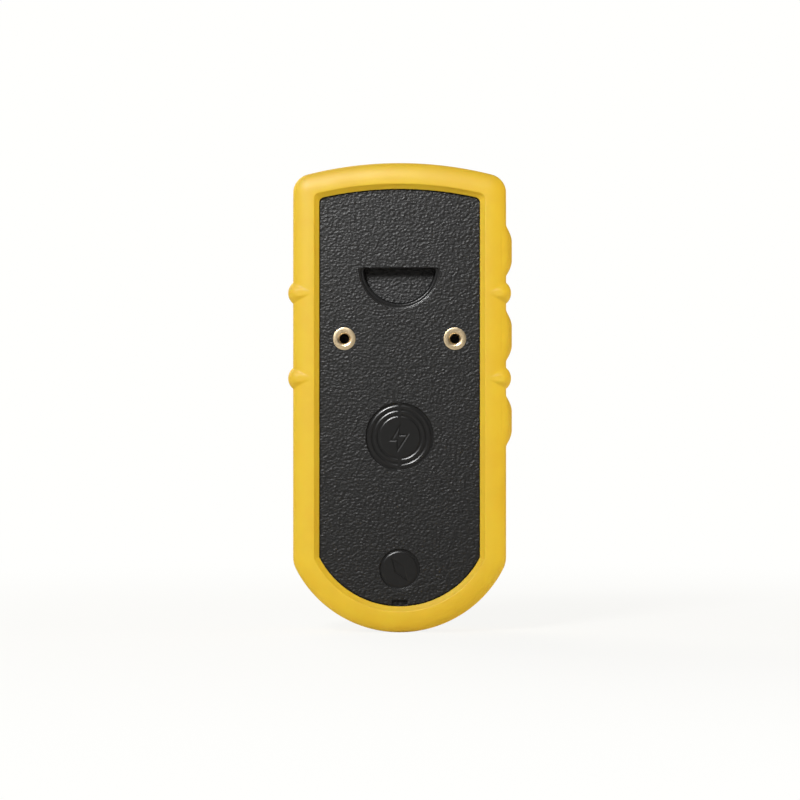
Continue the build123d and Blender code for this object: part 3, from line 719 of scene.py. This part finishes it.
def grain_group():
    """Leather grain: uneven pebbles with creases between them, a little wider than high."""
    tree, given, result = new_group(
        "leather_grain", [("Vector", None), ("Pebble", 0.001)], ["Height", "Tops"]
    )
    scale = math_node(tree, "DIVIDE", 1.0, given["Pebble"])
    wide = add_node(
        tree, "ShaderNodeMapping", {"Vector": given["Vector"], "Scale": (0.9, 1.0, 1.15)}
    ).outputs[0]
    folds = add_node(
        tree, "ShaderNodeTexNoise",
        {"Vector": wide, "Scale": scale, "Detail": 1.3, "Roughness": 0.5},
    ).outputs["Fac"]
    cells = add_node(
        tree, "ShaderNodeTexVoronoi",
        {"Vector": wide, "Scale": math_node(tree, "MULTIPLY", scale, 0.9),
         "Smoothness": 0.5, "Randomness": 1.0},
        feature="SMOOTH_F1",
    ).outputs["Distance"]
    pebbles = between(tree, cells, 0.1, 0.8, 1.0, 0.0)
    height = math_node(
        tree, "ADD",
        folds,
        math_node(tree, "MULTIPLY", pebbles, 0.22),
    )
    tree.links.new(height, result["Height"])
    tree.links.new(between(tree, height, 0.45, 0.85), result["Tops"])
    return tree


def mould_group():
    """Fine erosion of a mould, as on plastic shells."""
    tree, given, result = new_group(
        "mould_texture", [("Vector", None), ("Size", 0.0003)], ["Height"]
    )
    scale = math_node(tree, "DIVIDE", 1.0, given["Size"])
    noise = add_node(
        tree, "ShaderNodeTexNoise",
        {"Vector": given["Vector"], "Scale": scale, "Detail": 3.0, "Roughness": 0.7},
    )
    tree.links.new(between(tree, noise.outputs["Fac"], 0.3, 0.7), result["Height"])
    return tree


def place_group(tree, name, inputs):
    """Put a shared group into a material's tree."""
    node = tree.nodes.new("ShaderNodeGroup")
    node.node_tree = bpy.data.node_groups[name]
    for key, value in inputs.items():
        if isinstance(value, bpy.types.NodeSocket):
            tree.links.new(value, node.inputs[key])
        else:
            node.inputs[key].default_value = value
    return node.outputs


def new_finish(name, **constants):
    """Start a material and return its tree, its Principled shader and Object coordinates."""
    material = bpy.data.materials.new(name)
    material.use_nodes = True
    tree = material.node_tree
    shader = tree.nodes["Principled BSDF"]
    for key, value in constants.items():
        shader.inputs[key.replace("_", " ")].default_value = value
    coordinates = tree.nodes.new("ShaderNodeTexCoord").outputs["Object"]
    return tree, shader, coordinates


def mix_colours(tree, share, first, second):
    """Blend of two colours by a 0 to 1 share."""
    node = add_node(tree, "ShaderNodeMix", data_type="RGBA")
    for index, value in ((0, share), (6, first), (7, second)):
        if isinstance(value, bpy.types.NodeSocket):
            tree.links.new(value, node.inputs[index])
        else:
            node.inputs[index].default_value = value
    return node.outputs[2]


def bump(tree, shader, height, distance, strength=1.0):
    """Bump a shader's normal by a height."""
    node = add_node(
        tree, "ShaderNodeBump", {"Height": height, "Distance": distance, "Strength": strength}
    )
    tree.links.new(node.outputs["Normal"], shader.inputs["Normal"])


def silicone_finish(colours):
    """Satin yellow silicone with a faint bloom and a fine moulded skin."""
    tree, shader, place = new_finish(
        "silicone", Subsurface_Weight=0.15, Subsurface_Scale=0.0008, IOR=1.41,
        Specular_IOR_Level=0.35,
    )
    shader.inputs["Subsurface Radius"].default_value = (1.0, 0.45, 0.12)
    uneven = place_group(tree, "mottle", {"Vector": place, "Size": 0.012})
    tree.links.new(
        mix_colours(tree, uneven["Patches"], colours.silicone, colours.silicone_deep),
        shader.inputs["Base Color"],
    )
    tree.links.new(
        between(tree, uneven["Patches"], 0.0, 1.0, 0.50, 0.58), shader.inputs["Roughness"]
    )
    skin = place_group(tree, "mould_texture", {"Vector": place, "Size": 0.00035})
    bump(tree, shader, skin["Height"], 0.000012)


def disc_mask(tree, axes, level, radius):
    """Mask of a disc in the XZ plane, with the height over its centre and the reach from it."""
    up = math_node(tree, "SUBTRACT", axes["Z"], level)
    squares = math_node(
        tree, "ADD", math_node(tree, "MULTIPLY", up, up),
        math_node(tree, "MULTIPLY", axes["X"], axes["X"]),
    )
    reach = math_node(tree, "SQRT", squares)
    return between(tree, reach, radius, radius + MASK_BLUR, 1.0, 0.0), up, reach


def cover_finish(colours):
    """Black cover: leather grain, left smooth inside both marks and on the recess's lip."""
    tree, shader, place = new_finish("cover_black")
    grain = place_group(tree, "leather_grain", {"Vector": place, "Pebble": 0.0008})
    axes = add_node(tree, "ShaderNodeSeparateXYZ", {"Vector": place}).outputs
    mark = disc_mask(tree, axes, MARK_CENTRE.z, MARK_REACH)[0]
    ring = disc_mask(tree, axes, RING_LEVEL, RING_REACH)[0]
    inner, outer = RECESS_LIP
    disc, up, reach = disc_mask(tree, axes, RECESS_LEVEL, outer)
    band = math_node(tree, "MULTIPLY", disc, between(tree, reach, inner - MASK_BLUR, inner))
    below = between(tree, up, -0.6 * MM, 0.0, 1.0, 0.0)
    lip = math_node(tree, "MULTIPLY", band, below)
    smooth = math_node(tree, "MAXIMUM", math_node(tree, "MAXIMUM", mark, ring), lip)
    rough = math_node(tree, "SUBTRACT", 1.0, smooth)
    height = math_node(tree, "MULTIPLY", grain["Height"], rough)
    tops = math_node(tree, "MULTIPLY", grain["Tops"], rough)
    # painted light and shade: lighter black on the grain's tops, darker black in its creases
    tree.links.new(
        mix_colours(tree, tops, colours.cover, colours.cover_lit_tops), shader.inputs["Base Color"]
    )
    gloss = math_node(
        tree, "SUBTRACT", between(tree, tops, 0.0, 1.0, 0.56, 0.48),
        math_node(tree, "MULTIPLY", smooth, 0.22),
    )
    tree.links.new(gloss, shader.inputs["Roughness"])
    tree.links.new(
        between(tree, smooth, 0.0, 1.0, 0.26, 0.34), shader.inputs["Specular IOR Level"]
    )
    bump(tree, shader, height, 0.00034)


def brass_finish(colours):
    """Turned pale brass."""
    tree, shader, place = new_finish("brass", Metallic=1.0)
    uneven = place_group(tree, "mottle", {"Vector": place, "Size": 0.009})
    dull = (0.57, 0.45, 0.28, 1.0)
    tree.links.new(
        mix_colours(tree, uneven["Patches"], colours.brass, dull), shader.inputs["Base Color"]
    )
    tree.links.new(
        between(tree, uneven["Specks"], 0.0, 1.0, 0.34, 0.40), shader.inputs["Roughness"]
    )
    skin = place_group(tree, "mould_texture", {"Vector": place, "Size": 0.0002})
    bump(tree, shader, skin["Height"], 0.0000015)


def moulded_finish(name, tone, roughness, texture, depth):
    """Moulded plastic with a fine texture and slightly uneven gloss."""
    tree, shader, place = new_finish(name)
    uneven = place_group(tree, "mottle", {"Vector": place, "Size": 0.01})
    light = tuple(min(1.0, channel * 1.25) for channel in tone[:3]) + (1.0,)
    tree.links.new(
        mix_colours(tree, uneven["Patches"], tone, light), shader.inputs["Base Color"]
    )
    tree.links.new(
        between(tree, uneven["Specks"], 0.0, 1.0, roughness - 0.04, roughness + 0.06),
        shader.inputs["Roughness"],
    )
    skin = place_group(tree, "mould_texture", {"Vector": place, "Size": texture})
    bump(tree, shader, skin["Height"], depth)
    return tree, shader, place


def metal_finish(name, tone, roughness):
    """Plated sheet metal with fine rolling lines."""
    tree, shader, place = new_finish(name, Metallic=1.0)
    stretch = add_node(
        tree, "ShaderNodeMapping", {"Vector": place, "Scale": (60.0, 900.0, 3500.0)}
    ).outputs[0]
    lines = add_node(tree, "ShaderNodeTexNoise", {"Vector": stretch, "Scale": 1.0}).outputs["Fac"]
    dark = tuple(channel * 0.8 for channel in tone[:3]) + (1.0,)
    tree.links.new(mix_colours(tree, lines, dark, tone), shader.inputs["Base Color"])
    tree.links.new(
        between(tree, lines, 0.3, 0.7, roughness, roughness + 0.12), shader.inputs["Roughness"]
    )
    bump(tree, shader, lines, 0.000008)


def glass_finish():
    """Cover glass printed black behind, with the sleeping screen just showing."""
    tree, shader, place = new_finish("lens", Coat_Weight=0.6, Coat_Roughness=0.02, IOR=1.5)
    axes = add_node(tree, "ShaderNodeSeparateXYZ", {"Vector": place}).outputs
    screen_low, screen_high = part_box("display_panel")
    edge = 1.6 * MM
    inside = None
    for axis, low, high in (
        ("X", screen_low.x + edge, screen_high.x - edge),
        ("Z", screen_low.z + 2 * edge, screen_high.z - 2 * edge),
    ):
        above = math_node(tree, "GREATER_THAN", axes[axis], low)
        below = math_node(tree, "LESS_THAN", axes[axis], high)
        band = math_node(tree, "MULTIPLY", above, below)
        inside = band if inside is None else math_node(tree, "MULTIPLY", inside, band)
    tree.links.new(
        mix_colours(tree, inside, (0.004, 0.004, 0.0045, 1), (0.017, 0.019, 0.023, 1)),
        shader.inputs["Base Color"],
    )
    smears = place_group(tree, "mottle", {"Vector": place, "Size": 0.03})
    tree.links.new(
        between(tree, smears["Patches"], 0.0, 1.0, 0.05, 0.11), shader.inputs["Roughness"]
    )


def board_finish():
    """Solder mask over copper tracks."""
    tree, shader, place = new_finish("board")
    tracks = add_node(
        tree, "ShaderNodeTexBrick",
        {"Vector": place, "Scale": 900.0, "Mortar Size": 0.12, "Color1": (0, 0, 0, 1),
         "Color2": (0.35, 0.35, 0.35, 1), "Mortar": (1, 1, 1, 1)},
    ).outputs["Color"]
    tree.links.new(
        mix_colours(tree, tracks, (0.012, 0.095, 0.040, 1), (0.035, 0.20, 0.075, 1)),
        shader.inputs["Base Color"],
    )
    uneven = place_group(tree, "mottle", {"Vector": place, "Size": 0.006})
    tree.links.new(
        between(tree, uneven["Specks"], 0.0, 1.0, 0.25, 0.38), shader.inputs["Roughness"]
    )
    bump(tree, shader, tracks, 0.00002)


def coil_finish():
    """Enamelled copper wire wound in rings about the coil's centre."""
    tree, shader, place = new_finish("coil_wire", Metallic=1.0)
    centred = add_node(
        tree, "ShaderNodeMapping", {"Vector": place, "Location": -MARK_CENTRE}
    ).outputs[0]
    rings = add_node(
        tree, "ShaderNodeTexWave", {"Vector": centred, "Scale": 320.0, "Distortion": 0.0},
        wave_type="RINGS", rings_direction="Y",
    ).outputs["Fac"]
    tree.links.new(
        mix_colours(tree, rings, (0.30, 0.10, 0.035, 1), (0.82, 0.38, 0.17, 1)),
        shader.inputs["Base Color"],
    )
    tree.links.new(between(tree, rings, 0.0, 1.0, 0.5, 0.25), shader.inputs["Roughness"])
    bump(tree, shader, rings, 0.0001)


class NAVIGATOR_OT_finishes(bpy.types.Operator):
    """Build the shared node groups and every material, and dress the solid nodes"""

    bl_idname = "navigator.finishes"
    bl_label = "Finishes"

    def execute(self, context):
        colours = context.scene.navigator_colours
        mottle_group()
        grain_group()
        mould_group()
        silicone_finish(colours)
        cover_finish(colours)
        brass_finish(colours)
        glass_finish()
        board_finish()
        coil_finish()
        metal_finish("plated", (0.62, 0.61, 0.58, 1), 0.28)
        moulded_finish("shell", colours.housing, 0.5, 0.00035, 0.00003)
        moulded_finish("key_shell", (0.05, 0.05, 0.052, 1), 0.42, 0.0003, 0.00002)
        moulded_finish("gasket", (0.015, 0.015, 0.016, 1), 0.65, 0.0005, 0.00003)
        moulded_finish("ferrite", (0.045, 0.045, 0.05, 1), 0.6, 0.0004, 0.00003)
        moulded_finish("battery_film", (0.07, 0.09, 0.13, 1), 0.35, 0.002, 0.00002)
        moulded_finish("film", (0.50, 0.24, 0.05, 1), 0.3, 0.001, 0.00001)
        moulded_finish("ceramic", (0.60, 0.50, 0.36, 1), 0.3, 0.0004, 0.00001)
        moulded_finish("connector", (0.05, 0.05, 0.05, 1), 0.45, 0.0003, 0.00002)
        moulded_finish("screen_back", (0.012, 0.013, 0.017, 1), 0.25, 0.002, 0.00001)
        finish_of_slot = {
            "sleeve_silicone": "silicone", "cover_grain": "cover_black",
            "housing_plastic": "shell", "key_plastic": "key_shell", "insert_brass": "brass",
            "seal_rubber": "gasket", "coil_copper": "coil_wire", "ferrite": "ferrite",
            "battery_wrap": "battery_film", "flex_film": "film", "plated_steel": "plated",
            "board_laminate": "board", "antenna_ceramic": "ceramic",
            "connector_plastic": "connector", "display_stack": "screen_back",
            "lens_glass": "lens",
        }
        slot_of_node = {
            part["node"]: part["material_slot"] for part in frame["record"]["subparts"]
        }
        for name, node in NODES.items():
            node.data.materials.clear()
            finish = finish_of_slot[slot_of_node[name]]
            node.data.materials.append(bpy.data.materials[finish])
        return {"FINISHED"}


# ---------------------------------------------------------------- stage


def add_light(name, place, target, size, energy, tint=(1.0, 1.0, 1.0)):
    """A square area light that points at a target."""
    data = bpy.data.lights.new(name, "AREA")
    data.shape = "RECTANGLE"
    data.size, data.size_y = size
    data.energy = energy
    data.color = tint
    light = bpy.data.objects.new(name, data)
    light.location = place
    light.rotation_mode = "QUATERNION"
    light.rotation_quaternion = (Vector(target) - Vector(place)).to_track_quat("-Z", "Y")
    bpy.context.scene.collection.objects.link(light)
    return light


class NAVIGATOR_OT_stage(bpy.types.Operator):
    """Set the camera straight behind the object, soft lights and a plain pale floor"""

    bl_idname = "navigator.stage"
    bl_label = "Stage"

    def execute(self, context):
        sizes = context.scene.navigator_stage
        scene = context.scene
        camera_data = bpy.data.cameras.new("camera")
        camera_data.lens = sizes.lens
        camera_data.sensor_width = 36.0
        distance = sizes.frame_width * camera_data.lens / camera_data.sensor_width
        camera = bpy.data.objects.new("camera", camera_data)
        camera.location = (sizes.aim_x, SLEEVE_LOW.y + 4 * MM - distance, sizes.aim_z)
        camera.rotation_euler = (math.pi / 2, 0, 0)
        camera_data.clip_start = 0.05
        scene.collection.objects.link(camera)
        scene.camera = camera

        aim = (0, 0, 0.07)
        add_light("key", (-0.42, -0.92, 0.79), aim, (0.25, 0.25), 9.0)
        gloss = add_light("gloss", (-0.10, -0.17, 0.27), (0, 0, 0.12), (0.07, 0.07), 1.8)
        gloss.visible_diffuse = False
        warm = (1.0, 0.93, 0.82)
        amber = (1.0, 0.84, 0.66)
        for name, place, size, energy, tint in (
            ("front", (0, -1.4, 0.25), 2.4, 8.5, warm),
            ("left", (-0.9, -0.15, 0.15), 0.8, 2.0, warm),
            ("right", (0.9, -0.15, 0.10), 0.8, 7.2, amber),
            ("screen_side", (-0.5, 0.9, 0.6), 0.8, 9.0, warm),
        ):
            panel = add_light(f"{name}_panel", place, aim, (size, size), energy, tint)
            panel.visible_glossy = name == "screen_side"
        self.make_room(scene)
        self.make_floor(sizes)
        scene.view_settings.view_transform = "Standard"
        return {"FINISHED"}

    def make_room(self, scene):
        """Even room light, low on the object and white behind it."""
        world = bpy.data.worlds.new("studio")
        scene.world = world
        world.use_nodes = True
        tree = world.node_tree
        ray = tree.nodes.new("ShaderNodeLightPath").outputs
        soft = tree.nodes["Background"]
        soft.inputs["Color"].default_value = (1.0, 1.0, 1.0, 1.0)
        soft.inputs["Strength"].default_value = 0.08
        seen = add_node(
            tree, "ShaderNodeBackground", {"Color": (1.0, 1.0, 0.985, 1.0), "Strength": 1.0}
        )
        mixed = add_node(
            tree, "ShaderNodeMixShader",
            {0: ray["Is Camera Ray"], 1: soft.outputs[0], 2: seen.outputs[0]},
        )
        tree.links.new(mixed.outputs[0], tree.nodes["World Output"].inputs["Surface"])

    def make_floor(self, sizes):
        """Pale floor that stays near white and takes only a faint shadow."""
        bm = bmesh.new()
        bmesh.ops.create_circle(bm, cap_ends=True, segments=96, radius=sizes.floor_radius)
        mesh = bpy.data.meshes.new("floor")
        bm.to_mesh(mesh)
        bm.free()
        floor = bpy.data.objects.new("floor", mesh)
        bpy.context.scene.collection.objects.link(floor)
        material = bpy.data.materials.new("floor_paint")
        material.use_nodes = True
        tree = material.node_tree
        shader = tree.nodes["Principled BSDF"]
        shader.inputs["Base Color"].default_value = (0.8, 0.8, 0.79, 1.0)
        shader.inputs["Roughness"].default_value = 0.9
        glow = add_node(
            tree, "ShaderNodeEmission", {"Color": (1.0, 1.0, 0.985, 1.0), "Strength": 1.0}
        )
        seen = tree.nodes.new("ShaderNodeLightPath").outputs["Is Camera Ray"]
        place = tree.nodes.new("ShaderNodeTexCoord").outputs["Object"]
        reach = add_node(tree, "ShaderNodeVectorMath", {0: place}, operation="LENGTH")
        away = between(tree, reach.outputs["Value"], 0.08, 0.45, 0.86, 1.0)
        share = math_node(tree, "MULTIPLY", seen, away)
        mixed = add_node(
            tree, "ShaderNodeMixShader", {0: share, 1: shader.outputs[0], 2: glow.outputs[0]}
        )
        tree.links.new(mixed.outputs[0], tree.nodes["Material Output"].inputs["Surface"])
        mesh.materials.append(material)


# ---------------------------------------------------------------- panel and registration


class NAVIGATOR_PT_looks(bpy.types.Panel):
    """Lists the navigator's sizes, colours and pieces"""

    bl_idname = "NAVIGATOR_PT_looks"
    bl_label = "Navigator"
    bl_space_type = "VIEW_3D"
    bl_region_type = "UI"
    bl_category = "Navigator"

    def draw(self, context):
        for group in GROUPS:
            box = self.layout.box()
            sizes = getattr(context.scene, group)
            for name in sizes.bl_rna.properties.keys():
                if name not in ("rna_type", "name"):
                    box.prop(sizes, name)
        for operator in OPERATORS:
            self.layout.operator(operator.bl_idname)


OPERATORS = (
    NAVIGATOR_OT_stage,
    NAVIGATOR_OT_finishes,
    NAVIGATOR_OT_sleeve,
    NAVIGATOR_OT_pads,
    NAVIGATOR_OT_flap,
    NAVIGATOR_OT_inserts,
)
GROUPS = {
    "navigator_sleeve": SleeveSizes,
    "navigator_pads": PadSizes,
    "navigator_inserts": InsertSizes,
    "navigator_colours": FinishColours,
    "navigator_stage": StageSizes,
}


def register():
    """Register the property groups, operators and panel."""
    for name, group in GROUPS.items():
        bpy.utils.register_class(group)
        setattr(bpy.types.Scene, name, PointerProperty(type=group))
    for operator in OPERATORS:
        bpy.utils.register_class(operator)
    bpy.utils.register_class(NAVIGATOR_PT_looks)


def unregister():
    """Remove what register added."""
    bpy.utils.unregister_class(NAVIGATOR_PT_looks)
    for operator in reversed(OPERATORS):
        bpy.utils.unregister_class(operator)
    for name, group in GROUPS.items():
        delattr(bpy.types.Scene, name)
        bpy.utils.unregister_class(group)


def main():
    """Build the stage, the finishes and every piece in order."""
    for item in list(bpy.data.objects):
        if item.type in {"CAMERA", "LIGHT"} or item.name == "Cube":
            bpy.data.objects.remove(item)
    register()
    bpy.ops.navigator.stage()
    bpy.ops.navigator.finishes()
    bpy.ops.navigator.sleeve()
    bpy.ops.navigator.pads()
    bpy.ops.navigator.flap()
    bpy.ops.navigator.inserts()


if __name__ == "__main__":
    main()
